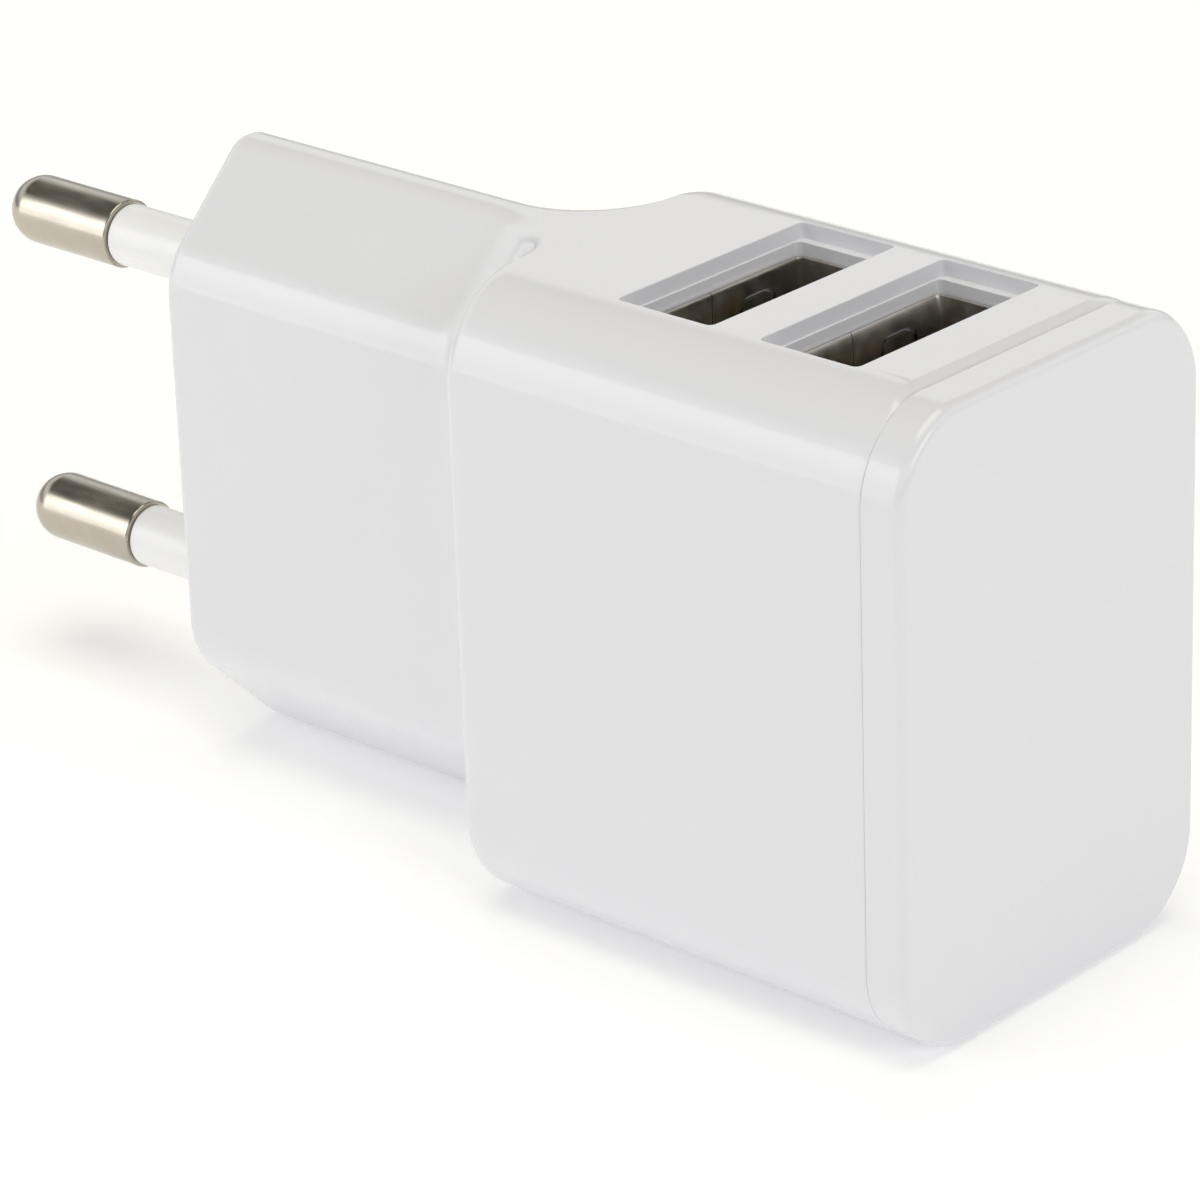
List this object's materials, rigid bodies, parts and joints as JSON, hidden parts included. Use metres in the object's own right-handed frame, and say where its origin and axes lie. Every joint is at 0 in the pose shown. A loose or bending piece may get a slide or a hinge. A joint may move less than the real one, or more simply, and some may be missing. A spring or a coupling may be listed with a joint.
{
  "type": "usb wall charger",
  "caption": "Slim wall charger: a flat two-pin mains plug on a narrow neck that flares into a rounded block with side-by-side USB-A ports on top.",
  "frame": {"origin": "centre of the plug face, midway between the two pins", "axes": "-X is the way the pins point, +X the way to the end cap, +Z the way the ports open, and Y is across the flat plug"},
  "size_m": [0.0755, 0.024, 0.035],
  "materials": {
    "white_case": "smooth satin white polycarbonate",
    "white_sleeve": "smooth white nylon",
    "nickel_pin": "polished warm nickel plate",
    "ivory_plastic": "plain moulded",
    "brown_wire": "plain",
    "blue_wire": "plain",
    "board": "green solder mask",
    "shell_steel": "dull nickel plate",
    "black_plastic": "plain moulded",
    "contact_metal": "plated",
    "ferrite": "matt grey ferrite",
    "copper_wire": "enamelled wire",
    "yellow_tape": "polyester tape",
    "tinned_metal": "tinned",
    "capacitor_can": "dark sleeve",
    "blue_ceramic": "dipped lacquer",
    "green_lacquer": "lacquer",
    "tan_ceramic": "plain",
    "clear_film": "thin sheet"
  },
  "bodies": {
    "case": {"housing": "white_case", "end_cap": "white_case", "pin_upper": "nickel_pin", "pin_lower": "nickel_pin", "sleeve_upper": "white_sleeve", "sleeve_lower": "white_sleeve", "pin_retainer": "ivory_plastic", "live_wire": "brown_wire", "neutral_wire": "blue_wire", "main_board": "board", "usb_board": "board", "port_shell_1": "shell_steel", "port_shell_2": "shell_steel", "port_insulator_1": "black_plastic", "port_insulator_2": "black_plastic", "terminal_1_a": "contact_metal", "terminal_1_b": "contact_metal", "terminal_1_c": "contact_metal", "terminal_1_d": "contact_metal", "terminal_2_a": "contact_metal", "terminal_2_b": "contact_metal", "terminal_2_c": "contact_metal", "terminal_2_d": "contact_metal", "transformer_core": "ferrite", "transformer_bobbin": "ivory_plastic", "transformer_winding": "copper_wire", "transformer_tape": "yellow_tape", "transformer_pins": "tinned_metal", "input_capacitor_1": "capacitor_can", "input_capacitor_2": "capacitor_can", "output_capacitor_1": "capacitor_can", "output_capacitor_2": "capacitor_can", "safety_capacitor": "blue_ceramic", "fuse_resistor": "green_lacquer", "filter_choke": "ferrite", "bridge_rectifier": "black_plastic", "switching_chip": "black_plastic", "optocoupler": "black_plastic", "output_diode": "black_plastic", "chip_parts": "tan_ceramic", "board_header": "black_plastic", "insulation_sheet": "clear_film"},
    "contact_1_a": {"contact_1_a": "contact_metal"},
    "contact_1_b": {"contact_1_b": "contact_metal"},
    "contact_1_c": {"contact_1_c": "contact_metal"},
    "contact_1_d": {"contact_1_d": "contact_metal"},
    "contact_2_a": {"contact_2_a": "contact_metal"},
    "contact_2_b": {"contact_2_b": "contact_metal"},
    "contact_2_c": {"contact_2_c": "contact_metal"},
    "contact_2_d": {"contact_2_d": "contact_metal"}
  },
  "joints": [
    {"name": "contact_1_a_spring", "type": "hinge", "parent": "case", "child": "contact_1_a", "pos_m": [0.03805, -0.0035, 0.0062], "axis": [0, 1, 0], "range_deg": [0, 3], "stiffness_Nm_per_rad": 0.1},
    {"name": "contact_1_b_spring", "type": "hinge", "parent": "case", "child": "contact_1_b", "pos_m": [0.03805, -0.001, 0.0062], "axis": [0, 1, 0], "range_deg": [0, 3], "stiffness_Nm_per_rad": 0.1},
    {"name": "contact_1_c_spring", "type": "hinge", "parent": "case", "child": "contact_1_c", "pos_m": [0.03805, 0.001, 0.0062], "axis": [0, 1, 0], "range_deg": [0, 3], "stiffness_Nm_per_rad": 0.1},
    {"name": "contact_1_d_spring", "type": "hinge", "parent": "case", "child": "contact_1_d", "pos_m": [0.03805, 0.0035, 0.0062], "axis": [0, 1, 0], "range_deg": [0, 3], "stiffness_Nm_per_rad": 0.1},
    {"name": "contact_2_a_spring", "type": "hinge", "parent": "case", "child": "contact_2_a", "pos_m": [0.04745, -0.0035, 0.0062], "axis": [0, 1, 0], "range_deg": [0, 3], "stiffness_Nm_per_rad": 0.1},
    {"name": "contact_2_b_spring", "type": "hinge", "parent": "case", "child": "contact_2_b", "pos_m": [0.04745, -0.001, 0.0062], "axis": [0, 1, 0], "range_deg": [0, 3], "stiffness_Nm_per_rad": 0.1},
    {"name": "contact_2_c_spring", "type": "hinge", "parent": "case", "child": "contact_2_c", "pos_m": [0.04745, 0.001, 0.0062], "axis": [0, 1, 0], "range_deg": [0, 3], "stiffness_Nm_per_rad": 0.1},
    {"name": "contact_2_d_spring", "type": "hinge", "parent": "case", "child": "contact_2_d", "pos_m": [0.04745, 0.0035, 0.0062], "axis": [0, 1, 0], "range_deg": [0, 3], "stiffness_Nm_per_rad": 0.1}
  ]
}
